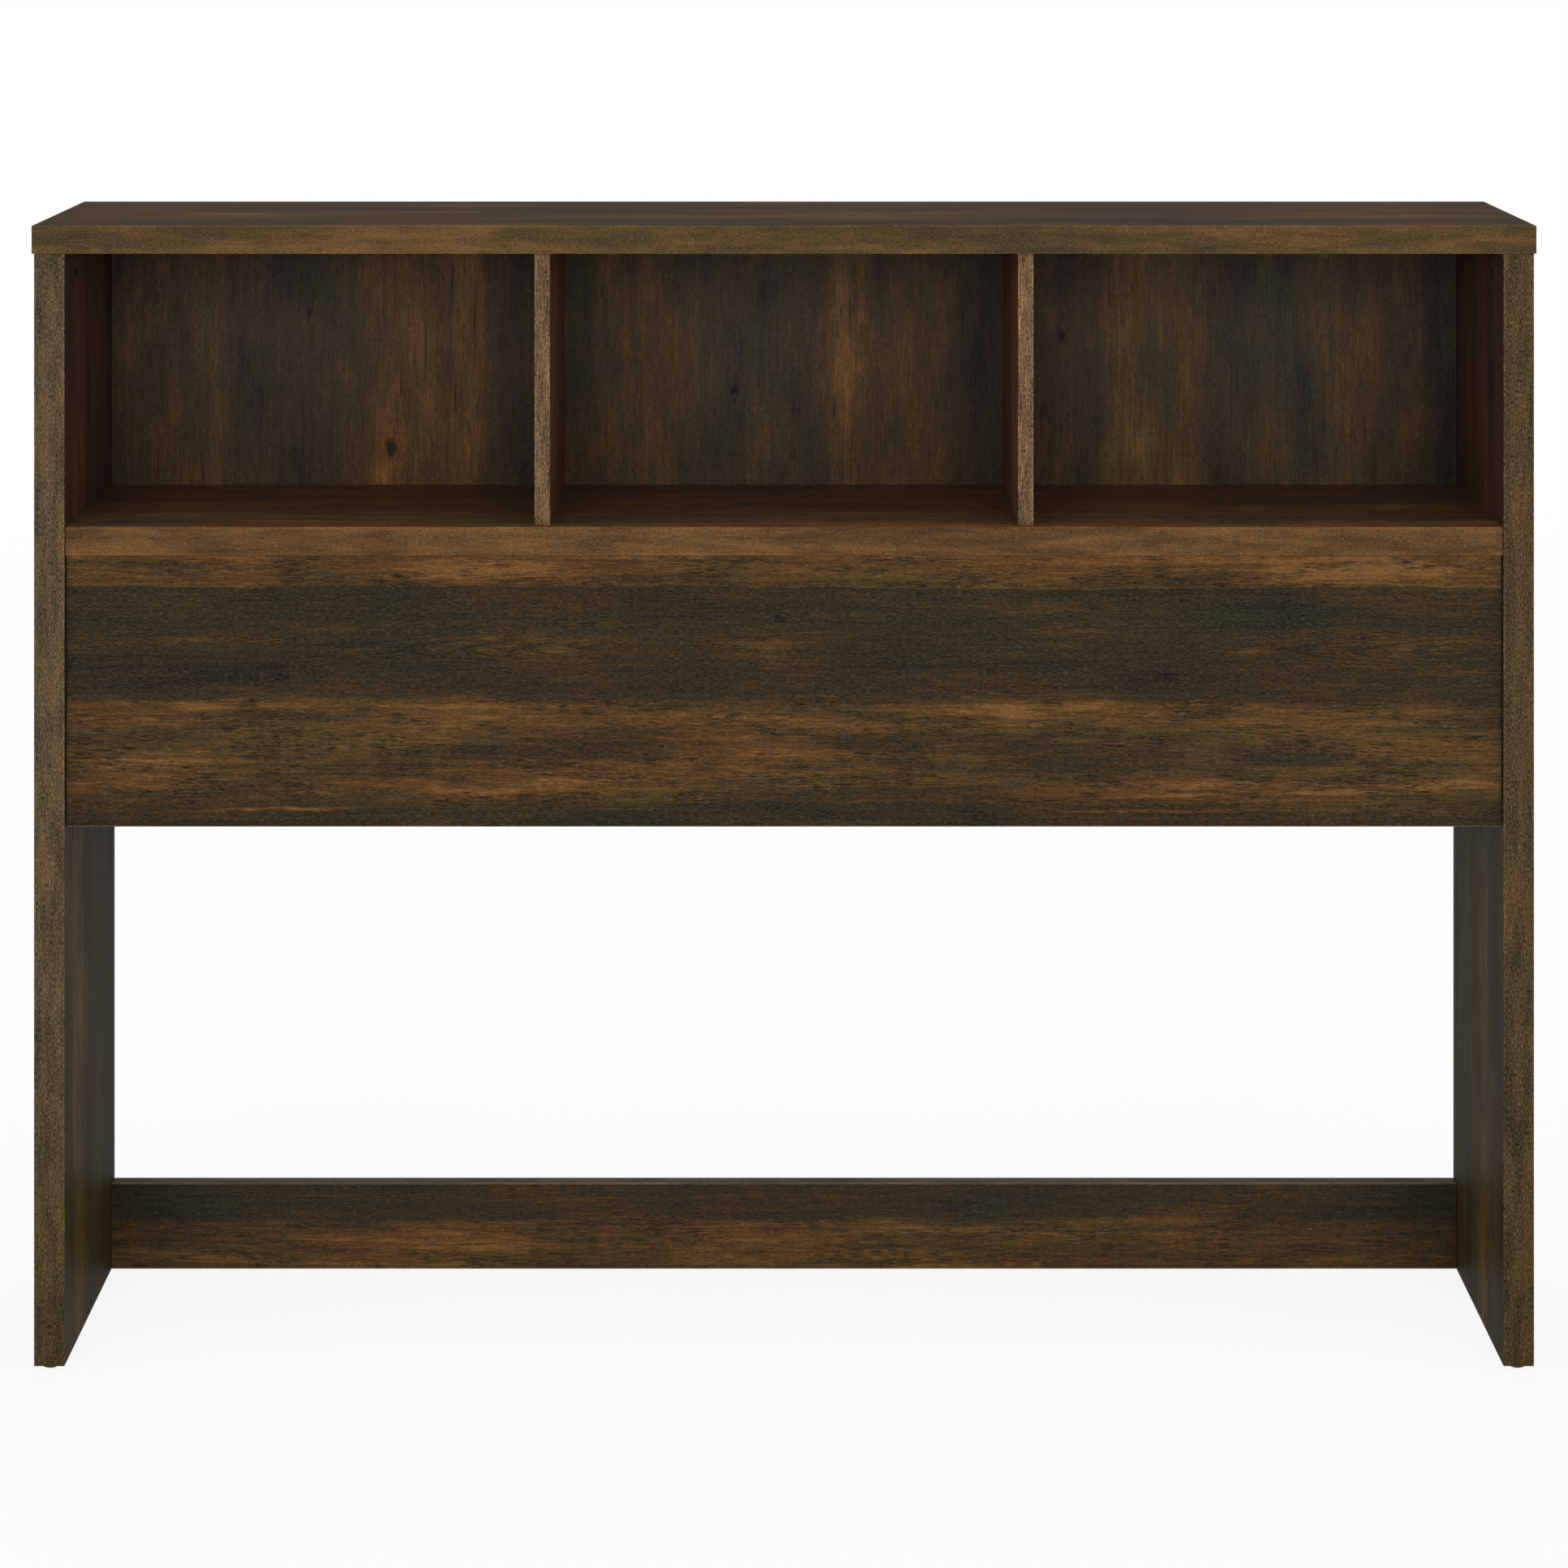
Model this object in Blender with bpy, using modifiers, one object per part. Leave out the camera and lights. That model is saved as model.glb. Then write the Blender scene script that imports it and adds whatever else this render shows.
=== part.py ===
"""Bookcase headboard, usable as a desk hutch: a row of open cubbies over a front panel, on two panel ends.

Cam locks with bolts, dowels and screws hold the boards. Their open edges carry glued bands.
Frame: metres, +X right, +Z up, open front facing -Y, origin on the floor at the middle of the footprint.
Run it with blender --background --python part.py, or from Blender's text editor.
"""

import math

import bmesh
import bpy
from mathutils import Matrix, Vector

# Overall size and boards
DEPTH = 0.230
TOP_WIDTH = 1.486
TOP_OVERHANG = 0.0025  # of the top past the outer face of each side panel
TOP_THICKNESS = 0.028
SIDE_THICKNESS = 0.030
SHELF_THICKNESS = 0.028
BOARD = 0.015  # dividers, front panel and stretcher
BACK_THICKNESS = 0.003

# Heights
GLIDE_HEIGHT = 0.004
SIDE_HEIGHT = 1.098
SHELF_TOP = GLIDE_HEIGHT + 0.828
FRONT_PANEL_BOTTOM = GLIDE_HEIGHT + 0.531
STRETCHER_HEIGHT = 0.090

# Distances behind the front edges of the side panels, and in front of their rear edges
SHELF_SETBACK = 0.0025
FRONT_PANEL_SETBACK = 0.0055
DIVIDER_SETBACK = 0.0080
BACK_INSET = 0.010

# Fits
GAP = 0.0003  # between neighbouring pieces
PANEL_END_GAP = 0.0012  # between each end of the front panel and its side panel
BAND = 0.001  # thickness of an edge band
BAND_GAP = 0.0002  # glue line under an edge band
BAND_EASE = 0.0005  # rounding of an edge band's outer edges
GROOVE_DEPTH = 0.006
OVERSHOOT = 0.002  # how far a cutter stands out of the face it enters

# Cam locks. A cam's own frame has +Z out of its face and +X towards its bolt.
CAM_RADIUS = 0.00735
CAM_LENGTH = 0.0122
CAM_BORE_RADIUS = 0.0077
CAM_BORE_DEPTH = 0.0126
CAM_SETBACK = 0.024  # from the cam's axis to the joint plane
CAM_CHAMFER = 0.0004
BOLT_DEPTH = 0.0075  # from the cam's face to the bolt's axis
CAVITY_RADIUS = 0.0059
CAVITY_SHIFT = 0.0005  # off the cam's axis, so the wall behind the bolt's head thickens as the cam turns
CAVITY_HEIGHT = 0.0076
SLOT_HEIGHT = 0.0052
SLOT_FROM, SLOT_TO = math.radians(-225), math.radians(40)
ENTRY_RADIUS = 0.0035
DRIVE_LENGTH, DRIVE_WIDTH, DRIVE_DEPTH = 0.0080, 0.0015, 0.0022
CAM_STEPS = 24

# Cam bolts, along their own axis from the cam's axis
HEAD_RADIUS, HEAD_FROM, HEAD_TO = 0.00325, 0.0021, 0.0041
NECK_RADIUS, NECK_TO = 0.0022, 0.0082
SHANK_RADIUS = 0.0035
THREAD_RADIUS, THREAD_LENGTH, TIP_RADIUS, TIP_LENGTH = 0.0030, 0.011, 0.0022, 0.0015
SHANK_BORE_RADIUS = 0.0040
THREAD_BORE_RADIUS = 0.0034
BOLT_STEPS = 12

# Where the fasteners sit
CAM_FROM_EDGE = 0.050  # top and shelf cams, from the front and rear edges
PANEL_CAM_FROM_EDGE = 0.045  # front panel cams, from its upper and lower edges
STRETCHER_CAM_UP = 0.060  # above the stretcher's lower edge
STRETCHER_DOWEL_UP = 0.028
DOWEL_FROM_EDGE = 0.055  # divider dowels, from the divider's front and rear edges

# Dowels, screws and glides
DOWEL_RADIUS, DOWEL_LENGTH, DOWEL_CHAMFER = 0.0030, 0.030, 0.0008
DOWEL_BORE_RADIUS, DOWEL_BORE_DEPTH = 0.0034, 0.0155
SCREW_LENGTH, SCREW_RADIUS = 0.050, 0.0018
SCREW_HEAD_RADIUS, SCREW_HEAD_LENGTH = 0.0040, 0.0028
SCREW_CLEARANCE_RADIUS, SCREW_PILOT_RADIUS = 0.0024, 0.0022
GLIDE_RADIUS, GLIDE_FOOT_RADIUS, NAIL_RADIUS, NAIL_LENGTH = 0.010, 0.0065, 0.0014, 0.014
GLIDE_FROM_EDGE = 0.0125  # glide centre, from the front and rear edges of a side panel
NAIL_BORE_RADIUS = 0.0018
SMALL_STEPS = 16

# Worked out from the driving dimensions
FRONT, REAR = -DEPTH / 2, DEPTH / 2
SIDE_OUTER = TOP_WIDTH / 2 - TOP_OVERHANG
SIDE_INNER = SIDE_OUTER - SIDE_THICKNESS
TOP_UNDER = GLIDE_HEIGHT + SIDE_HEIGHT
SHELF_UNDER = SHELF_TOP - SHELF_THICKNESS
FRONT_PANEL_TOP = SHELF_UNDER - GAP
DIVIDER_X = SIDE_INNER / 3 + BOARD / 6  # three compartments of one width
BACK_REAR = REAR - BACK_INSET
BACK_FRONT = BACK_REAR - BACK_THICKNESS
FRONT_PANEL_REAR = FRONT + FRONT_PANEL_SETBACK + BOARD
SIDES = {"left": -1, "right": 1}
COLLECTION = "bookcase_headboard"


def clear_scene():
    for obj in list(bpy.data.objects):
        bpy.data.objects.remove(obj)


def collection(name, parent=None):
    made = bpy.data.collections.new(name)
    (parent or bpy.context.scene.collection).children.link(made)
    return made


def material(name, colour, roughness, metallic=0.0):
    made = bpy.data.materials.new(name)
    made.use_nodes = True
    shader = made.node_tree.nodes["Principled BSDF"]
    shader.inputs["Base Color"].default_value = (*colour, 1.0)
    shader.inputs["Roughness"].default_value = roughness
    shader.inputs["Metallic"].default_value = metallic
    return made


MATERIALS = {
    "board": ((0.070, 0.040, 0.024), 0.45),
    "edge_band": ((0.130, 0.080, 0.045), 0.50),
    "hardboard": ((0.055, 0.036, 0.024), 0.50),
    "zinc": ((0.55, 0.55, 0.56), 0.35, 1.0),
    "steel": ((0.60, 0.59, 0.56), 0.30, 1.0),
    "beech": ((0.62, 0.45, 0.28), 0.60),
    "glide_plastic": ((0.05, 0.035, 0.025), 0.40),
}


def finish(obj, name, material_name):
    """Names the object, gives it its own material and puts it in the object's collection."""
    obj.name = obj.data.name = name
    for old in list(obj.users_collection):
        old.objects.unlink(obj)
    bpy.data.collections[COLLECTION].objects.link(obj)
    obj.data.materials.clear()
    obj.data.materials.append(material(name, *MATERIALS[material_name]))
    return obj


def box(low, high):
    """A box between two corners, with its origin at its centre and its scale applied."""
    low, high = Vector(low), Vector(high)
    bpy.ops.mesh.primitive_cube_add(size=1, location=(low + high) / 2)
    made = bpy.context.object
    made.data.transform(Matrix.Diagonal((*(high - low), 1)))
    return made


def along(direction):
    """The rotation that turns local +Z to a direction."""
    return Vector(direction).to_track_quat("Z", "Y").to_euler()


def cylinder(start, direction, radius, length, steps=SMALL_STEPS):
    """A solid cylinder from a point along a direction."""
    centre = Vector(start) + Vector(direction) * length / 2
    bpy.ops.mesh.primitive_cylinder_add(
        vertices=steps, radius=radius, depth=length, location=centre, rotation=along(direction)
    )
    return bpy.context.object


def turned(profile, steps):
    """A solid of revolution about local Z from (radius, height) points that run down its outer side."""
    mesh = bpy.data.meshes.new("turned")
    shape = bmesh.new()
    points = [shape.verts.new((radius, 0, height)) for radius, height in profile]
    for pair in zip(points, points[1:]):
        shape.edges.new(pair)
    shape.to_mesh(mesh)
    shape.free()
    made = bpy.data.objects.new("turned", mesh)
    bpy.context.scene.collection.objects.link(made)
    screw = made.modifiers.new("turn", "SCREW")
    screw.steps = screw.render_steps = steps
    screw.use_merge_vertices = True
    screw.merge_threshold = 0.00001
    return made


def outline(points, thickness):
    """A flat plate about the local XY plane from an outline, as a mesh object."""
    curve = bpy.data.curves.new("outline", "CURVE")
    curve.dimensions = "2D"
    curve.fill_mode = "BOTH"
    curve.extrude = thickness / 2
    spline = curve.splines.new("POLY")
    spline.points.add(len(points) - 1)
    for point, (x, y) in zip(spline.points, points):
        point.co = (x, y, 0, 1)
    spline.use_cyclic_u = True
    flat = bpy.data.objects.new("outline", curve)
    bpy.context.scene.collection.objects.link(flat)
    made = bpy.data.objects.new("outline", baked(flat))
    bpy.context.scene.collection.objects.link(made)
    return made


def baked(obj):
    """The object's mesh with its modifiers applied and its seams welded. The object is removed."""
    bpy.context.view_layer.update()
    graph = bpy.context.evaluated_depsgraph_get()
    mesh = bpy.data.meshes.new_from_object(obj.evaluated_get(graph))
    shape = bmesh.new()
    shape.from_mesh(mesh)
    bmesh.ops.remove_doubles(shape, verts=shape.verts, dist=0.000001)
    bmesh.ops.recalc_face_normals(shape, faces=shape.faces)
    shape.to_mesh(mesh)
    shape.free()
    bpy.data.objects.remove(obj)
    return mesh


def copy_of(mesh, name, material_name, matrix):
    """A smooth-shaded object with its own copy of a mesh, placed by a matrix."""
    made = bpy.data.objects.new(name, mesh.copy())
    bpy.context.scene.collection.objects.link(made)
    finish(made, name, material_name)
    made.matrix_world = matrix
    made.data.shade_smooth()
    made.data.set_sharp_from_angle(angle=math.radians(35))
    return made


def cut(obj, cutters):
    """Cuts every cutter out of an object. The cutters stay in a hidden collection of their own."""
    group = collection("cutters_" + obj.name, bpy.data.collections["cutters"])
    for cutter in cutters:
        for old in list(cutter.users_collection):
            old.objects.unlink(cutter)
        group.objects.link(cutter)
        cutter.name = "cutter_" + obj.name
        cutter.hide_render = True
        cutter.display_type = "WIRE"
    boolean = obj.modifiers.new("cuts", "BOOLEAN")
    boolean.operation = "DIFFERENCE"
    boolean.solver = "EXACT"
    boolean.operand_type = "COLLECTION"
    boolean.collection = group


def bore(mouth, direction, radius, depth, steps=SMALL_STEPS):
    """The cutter of a blind hole. The direction points into the wood."""
    direction = Vector(direction)
    return cylinder(Vector(mouth) - direction * OVERSHOOT, direction, radius, depth + OVERSHOOT, steps)


# Cam joints


class CamJoint:
    """A cam in one board that pulls on a bolt in the next one."""

    def __init__(self, name, face_point, face_normal, bolt_direction):
        self.name = name
        self.face_point = Vector(face_point)
        self.normal = Vector(face_normal)
        self.pull = Vector(bolt_direction)

    def cam_matrix(self):
        turn = Matrix((self.pull, self.normal.cross(self.pull), self.normal)).transposed()
        return Matrix.Translation(self.face_point) @ turn.to_4x4()

    def bolt_origin(self):
        return self.face_point - self.normal * BOLT_DEPTH

    def bolt_matrix(self):
        turn = self.pull.to_track_quat("Z", "Y").to_matrix().to_4x4()
        return Matrix.Translation(self.bolt_origin()) @ turn

    def cam_cutters(self):
        """The cam's bore, and the bore that lets the bolt in from the board's edge."""
        edge = self.bolt_origin() + self.pull * CAM_SETBACK
        return [
            bore(self.face_point, -self.normal, CAM_BORE_RADIUS, CAM_BORE_DEPTH, CAM_STEPS),
            bore(edge, -self.pull, SHANK_BORE_RADIUS, CAM_SETBACK - CAM_RADIUS / 2),
        ]

    def thread_cutter(self):
        mouth = self.bolt_origin() + self.pull * CAM_SETBACK
        return bore(mouth, self.pull, THREAD_BORE_RADIUS, THREAD_LENGTH + 2 * GAP)


def cam_joints():
    """Every cam joint, by the board that holds its cams."""
    joints = {"left_side_panel": [], "right_side_panel": [], "shelf_panel": []}
    joints.update({"front_panel": [], "rear_stretcher": []})
    end_x = SIDE_INNER - CAM_SETBACK
    rows = {"front": FRONT + CAM_FROM_EDGE, "rear": REAR - CAM_FROM_EDGE}
    levels = {
        "upper": FRONT_PANEL_TOP - PANEL_CAM_FROM_EDGE,
        "lower": FRONT_PANEL_BOTTOM + PANEL_CAM_FROM_EDGE,
    }
    for side, sign in SIDES.items():
        for row, y in rows.items():
            point = (sign * SIDE_INNER, y, TOP_UNDER - CAM_SETBACK)
            joint = CamJoint(f"{side}_{row}_top", point, (-sign, 0, 0), (0, 0, 1))
            joints[f"{side}_side_panel"].append(joint)
            point = (sign * end_x, y, SHELF_UNDER)
            joint = CamJoint(f"{side}_{row}_shelf", point, (0, 0, -1), (sign, 0, 0))
            joints["shelf_panel"].append(joint)
        for level, z in levels.items():
            point = (sign * end_x, FRONT_PANEL_REAR, z)
            joint = CamJoint(f"{side}_{level}_panel", point, (0, 1, 0), (sign, 0, 0))
            joints["front_panel"].append(joint)
        point = (sign * end_x, REAR, GLIDE_HEIGHT + STRETCHER_CAM_UP)
        joint = CamJoint(f"{side}_stretcher", point, (0, 1, 0), (sign, 0, 0))
        joints["rear_stretcher"].append(joint)
    return joints


def cam_mesh():
    """A cam: an eccentric cavity for the bolt's head, a slot for its neck and a cross drive in its face."""
    body = turned(
        [
            (0, 0),
            (CAM_RADIUS - CAM_CHAMFER, 0),
            (CAM_RADIUS, -CAM_CHAMFER),
            (CAM_RADIUS, -CAM_LENGTH),
            (0, -CAM_LENGTH),
        ],
        CAM_STEPS,
    )
    body.name = "cam"
    low = -BOLT_DEPTH - CAVITY_HEIGHT / 2
    cavity = cylinder((-CAVITY_SHIFT, 0, low), (0, 0, 1), CAVITY_RADIUS, CAVITY_HEIGHT, CAM_STEPS)
    reach = CAM_RADIUS + OVERSHOOT
    count = 8
    angles = [SLOT_FROM + (SLOT_TO - SLOT_FROM) * i / (count - 1) for i in range(count)]
    sector = [(0, 0)] + [(reach * math.cos(a), reach * math.sin(a)) for a in angles]
    slot = outline(sector, SLOT_HEIGHT)
    slot.location.z = -BOLT_DEPTH
    entry = cylinder((0, 0, -BOLT_DEPTH), (-1, 0, 0), ENTRY_RADIUS, reach)
    long, wide = DRIVE_LENGTH / 2, DRIVE_WIDTH / 2
    drive = [
        box((-long, -wide, -DRIVE_DEPTH), (long, wide, OVERSHOOT)),
        box((-wide, -long, -DRIVE_DEPTH), (wide, long, OVERSHOOT)),
    ]
    cut(body, [cavity, slot, entry, *drive])
    return baked(body)


def bolt_mesh():
    """A cam bolt along +Z: a head in the cam, a neck, a shank, and a thread as its plain outside."""
    thread_to = CAM_SETBACK + THREAD_LENGTH
    profile = [
        (0, thread_to),
        (TIP_RADIUS, thread_to),
        (THREAD_RADIUS, thread_to - TIP_LENGTH),
        (THREAD_RADIUS, CAM_SETBACK),
        (SHANK_RADIUS, CAM_SETBACK),
        (SHANK_RADIUS, NECK_TO),
        (NECK_RADIUS, NECK_TO),
        (NECK_RADIUS, HEAD_TO),
        (HEAD_RADIUS, HEAD_TO),
        (HEAD_RADIUS, HEAD_FROM),
        (0, HEAD_FROM),
    ]
    return baked(turned(profile, BOLT_STEPS))


# Small hardware


def dowel_mesh():
    """A fluted dowel as its plain outside, about its middle and along Z."""
    half, end = DOWEL_LENGTH / 2, DOWEL_RADIUS - DOWEL_CHAMFER
    profile = [(0, half), (end, half), (DOWEL_RADIUS, half - DOWEL_CHAMFER)]
    profile += [(radius, -height) for radius, height in reversed(profile)]
    return baked(turned(profile, SMALL_STEPS))


def screw_mesh():
    """A countersunk wood screw with its head at the origin and its tip up."""
    profile = [
        (0, SCREW_LENGTH),
        (SCREW_RADIUS, SCREW_LENGTH - 3 * SCREW_RADIUS),
        (SCREW_RADIUS, SCREW_HEAD_LENGTH),
        (SCREW_HEAD_RADIUS, 0),
        (0, 0),
    ]
    body = turned(profile, SMALL_STEPS)
    body.name = "screw"
    long, wide, deep = SCREW_HEAD_RADIUS * 0.6, SCREW_HEAD_RADIUS * 0.15, SCREW_HEAD_LENGTH * 0.6
    drive = [
        box((-long, -wide, -OVERSHOOT), (long, wide, deep)),
        box((-wide, -long, -OVERSHOOT), (wide, long, deep)),
    ]
    cut(body, drive)
    return baked(body)


def glide_mesh():
    """A nail-on glide: a shallow dome with a flat foot at the origin, and its nail pointing up."""
    under = GLIDE_HEIGHT - GAP
    rim = under * 0.45
    profile = [
        (0, under + NAIL_LENGTH),
        (NAIL_RADIUS, under + NAIL_LENGTH - 2 * NAIL_RADIUS),
        (NAIL_RADIUS, under),
        (GLIDE_RADIUS - rim * 0.2, under),
        (GLIDE_RADIUS, under - rim * 0.3),
        (GLIDE_RADIUS, rim),
        ((GLIDE_RADIUS + GLIDE_FOOT_RADIUS) / 2, rim * 0.35),
        (GLIDE_FOOT_RADIUS, 0),
        (0, 0),
    ]
    return baked(turned(profile, CAM_STEPS))


# Boards and edge bands


def band(name, low, high, outward):
    """A glued edge band whose outer edges are eased. It faces along outward."""
    made = finish(box(low, high), name, "edge_band")
    shape = bmesh.new()
    shape.from_mesh(made.data)
    face = max(shape.faces, key=lambda f: f.normal.dot(Vector(outward)))
    bmesh.ops.bevel(
        shape, geom=list(face.edges), offset=BAND_EASE, segments=2, profile=0.5, affect="EDGES"
    )
    shape.to_mesh(made.data)
    shape.free()
    return made


def groove(low, high):
    """A cutter for part of the groove that holds the back panel."""
    return box((low[0], BACK_FRONT - GAP, low[1]), (high[0], BACK_REAR + GAP, high[1]))


def divider_dowels():
    """Centre of each divider dowel, by name. It stands half in the top and half in a divider."""
    rows = {"front": FRONT + DIVIDER_SETBACK + DOWEL_FROM_EDGE, "rear": BACK_FRONT - DOWEL_FROM_EDGE}
    height = TOP_UNDER - DOWEL_LENGTH / 2 + DOWEL_BORE_DEPTH - GAP
    return {
        f"{side}_divider_{row}_dowel": Vector((sign * DIVIDER_X, y, height))
        for side, sign in SIDES.items()
        for row, y in rows.items()
    }


def stretcher_dowels():
    """Centre of each stretcher dowel, by name. It lies half in the stretcher and half in a side panel."""
    y, z = REAR - BOARD / 2, GLIDE_HEIGHT + STRETCHER_DOWEL_UP
    return {f"{side}_stretcher_dowel": Vector((sign * SIDE_INNER, y, z)) for side, sign in SIDES.items()}


def glide_places():
    """Foot of each glide, by name."""
    x = (SIDE_INNER + SIDE_OUTER) / 2
    rows = {"front": FRONT + GLIDE_FROM_EDGE, "rear": REAR - GLIDE_FROM_EDGE}
    return {
        f"{side}_{row}_glide": Vector((sign * x, y, 0))
        for side, sign in SIDES.items()
        for row, y in rows.items()
    }


def screw_places():
    """Foot of each divider screw's head, by name. The screw stands in the shelf and points up."""
    y, z = (FRONT + DIVIDER_SETBACK + BACK_FRONT) / 2, SHELF_UNDER + GAP
    return {f"{side}_divider_screw": Vector((sign * DIVIDER_X, y, z)) for side, sign in SIDES.items()}


def top(joints):
    edge = TOP_WIDTH / 2
    core = edge - BAND - BAND_GAP
    z0, z1 = TOP_UNDER + GAP, TOP_UNDER + TOP_THICKNESS
    front = FRONT + BAND
    made = finish(box((-core, front + BAND_GAP, z0), (core, REAR, z1)), "top_panel", "board")
    cutters = [j.thread_cutter() for side in SIDES for j in joints[f"{side}_side_panel"]]
    for centre in divider_dowels().values():
        mouth = (centre.x, centre.y, z0)
        cutters.append(bore(mouth, (0, 0, 1), DOWEL_BORE_RADIUS, DOWEL_BORE_DEPTH))
    reach = SIDE_INNER + GROOVE_DEPTH
    cutters.append(groove((-reach, z0 - OVERSHOOT), (reach, z0 + GROOVE_DEPTH)))
    cut(made, cutters)
    band("top_front_band", (-edge, FRONT, z0), (edge, front, z1), (0, -1, 0))
    for side, sign in SIDES.items():
        xs = sorted((sign * edge, sign * (edge - BAND)))
        band(f"top_{side}_band", (xs[0], front + BAND_GAP, z0), (xs[1], REAR, z1), (sign, 0, 0))


def side_panel(side, joints):
    sign = SIDES[side]
    name = f"{side}_side_panel"
    xs = sorted((sign * SIDE_INNER, sign * SIDE_OUTER))
    front = FRONT + BAND
    made = finish(box((xs[0], front + BAND_GAP, GLIDE_HEIGHT), (xs[1], REAR, TOP_UNDER)), name, "board")
    cutters = [cutter for j in joints[name] for cutter in j.cam_cutters()]
    for board in ("shelf_panel", "front_panel", "rear_stretcher"):
        cutters += [j.thread_cutter() for j in joints[board] if j.name.startswith(side)]
    dowel = stretcher_dowels()[f"{side}_stretcher_dowel"]
    cutters.append(bore(dowel, (sign, 0, 0), DOWEL_BORE_RADIUS, DOWEL_BORE_DEPTH))
    for place_name, place in glide_places().items():
        if place_name.startswith(side):
            mouth = (place.x, place.y, GLIDE_HEIGHT)
            cutters.append(bore(mouth, (0, 0, 1), NAIL_BORE_RADIUS, NAIL_LENGTH + GAP))
    reach = sorted((sign * (SIDE_INNER - OVERSHOOT), sign * (SIDE_INNER + GROOVE_DEPTH)))
    cutters.append(groove((reach[0], SHELF_TOP - GROOVE_DEPTH), (reach[1], TOP_UNDER + OVERSHOOT)))
    cut(made, cutters)
    band(f"{side}_side_band", (xs[0], FRONT, GLIDE_HEIGHT), (xs[1], front, TOP_UNDER), (0, -1, 0))


def shelf(joints):
    x = SIDE_INNER - GAP
    front = FRONT + SHELF_SETBACK
    low, high = (-x, front + BAND + BAND_GAP, SHELF_UNDER), (x, REAR, SHELF_TOP)
    made = finish(box(low, high), "shelf_panel", "board")
    cutters = [cutter for j in joints["shelf_panel"] for cutter in j.cam_cutters()]
    for foot in screw_places().values():
        mouth = Vector((foot.x, foot.y, SHELF_UNDER))
        through = SHELF_THICKNESS + OVERSHOOT
        cutters.append(bore(mouth, (0, 0, 1), SCREW_CLEARANCE_RADIUS, through))
        cutters.append(bore(mouth, (0, 0, 1), SCREW_HEAD_RADIUS + GAP, SCREW_HEAD_LENGTH + 2 * GAP))
    reach = x + OVERSHOOT
    cutters.append(groove((-reach, SHELF_TOP - GROOVE_DEPTH), (reach, SHELF_TOP + OVERSHOOT)))
    cut(made, cutters)
    band("shelf_band", (-x, front, SHELF_UNDER), (x, front + BAND, SHELF_TOP), (0, -1, 0))


def divider(side):
    name = f"{side}_divider"
    x, front = SIDES[side] * DIVIDER_X, FRONT + DIVIDER_SETBACK
    x0, x1 = x - BOARD / 2, x + BOARD / 2
    z0, z1 = SHELF_TOP + GAP, TOP_UNDER
    made = finish(box((x0, front + BAND + BAND_GAP, z0), (x1, BACK_FRONT - GAP, z1)), name, "board")
    cutters = []
    for dowel_name, centre in divider_dowels().items():
        if dowel_name.startswith(side):
            mouth = (centre.x, centre.y, z1)
            cutters.append(bore(mouth, (0, 0, -1), DOWEL_BORE_RADIUS, DOWEL_BORE_DEPTH))
    foot = screw_places()[f"{side}_divider_screw"]
    depth = foot.z + SCREW_LENGTH - z0 + GAP
    cutters.append(bore((foot.x, foot.y, z0), (0, 0, 1), SCREW_PILOT_RADIUS, depth))
    cut(made, cutters)
    band(f"{name}_band", (x0, front, z0), (x1, front + BAND, z1), (0, -1, 0))


def front_panel(joints):
    x = SIDE_INNER - PANEL_END_GAP
    front = FRONT + FRONT_PANEL_SETBACK
    bottom = FRONT_PANEL_BOTTOM + BAND
    low, high = (-x, front, bottom + BAND_GAP), (x, FRONT_PANEL_REAR, FRONT_PANEL_TOP)
    made = finish(box(low, high), "front_panel", "board")
    cut(made, [cutter for j in joints["front_panel"] for cutter in j.cam_cutters()])
    band("front_panel_band", (-x, front, FRONT_PANEL_BOTTOM), (x, FRONT_PANEL_REAR, bottom), (0, 0, -1))


def rear_stretcher(joints):
    x = SIDE_INNER - GAP
    front, z1 = REAR - BOARD, GLIDE_HEIGHT + STRETCHER_HEIGHT
    low, high = (-x, front, GLIDE_HEIGHT), (x, REAR, z1 - BAND - BAND_GAP)
    made = finish(box(low, high), "rear_stretcher", "board")
    cutters = [cutter for j in joints["rear_stretcher"] for cutter in j.cam_cutters()]
    for side, sign in SIDES.items():
        centre = stretcher_dowels()[f"{side}_stretcher_dowel"]
        mouth = (sign * x, centre.y, centre.z)
        cutters.append(bore(mouth, (-sign, 0, 0), DOWEL_BORE_RADIUS, DOWEL_BORE_DEPTH))
    cut(made, cutters)
    band("stretcher_band", (-x, front, z1 - BAND), (x, REAR, z1), (0, 0, 1))


def back_panel():
    reach = GROOVE_DEPTH - GAP
    x = SIDE_INNER + reach
    low, high = (-x, BACK_FRONT, SHELF_TOP - reach), (x, BACK_REAR, TOP_UNDER + reach)
    finish(box(low, high), "back_panel", "hardboard")


def hardware(joints):
    cam, bolt = cam_mesh(), bolt_mesh()
    for joint in (j for held in joints.values() for j in held):
        copy_of(cam, f"{joint.name}_cam", "zinc", joint.cam_matrix())
        copy_of(bolt, f"{joint.name}_bolt", "steel", joint.bolt_matrix())
    dowel, screw, glide = dowel_mesh(), screw_mesh(), glide_mesh()
    for name, centre in divider_dowels().items():
        copy_of(dowel, name, "beech", Matrix.Translation(centre))
    for name, centre in stretcher_dowels().items():
        lie = Matrix.Rotation(math.radians(90), 4, "Y")
        copy_of(dowel, name, "beech", Matrix.Translation(centre) @ lie)
    for name, foot in screw_places().items():
        copy_of(screw, name, "steel", Matrix.Translation(foot))
    for name, foot in glide_places().items():
        copy_of(glide, name, "glide_plastic", Matrix.Translation(foot))
    for mesh in (cam, bolt, dowel, screw, glide):
        bpy.data.meshes.remove(mesh)


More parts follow.
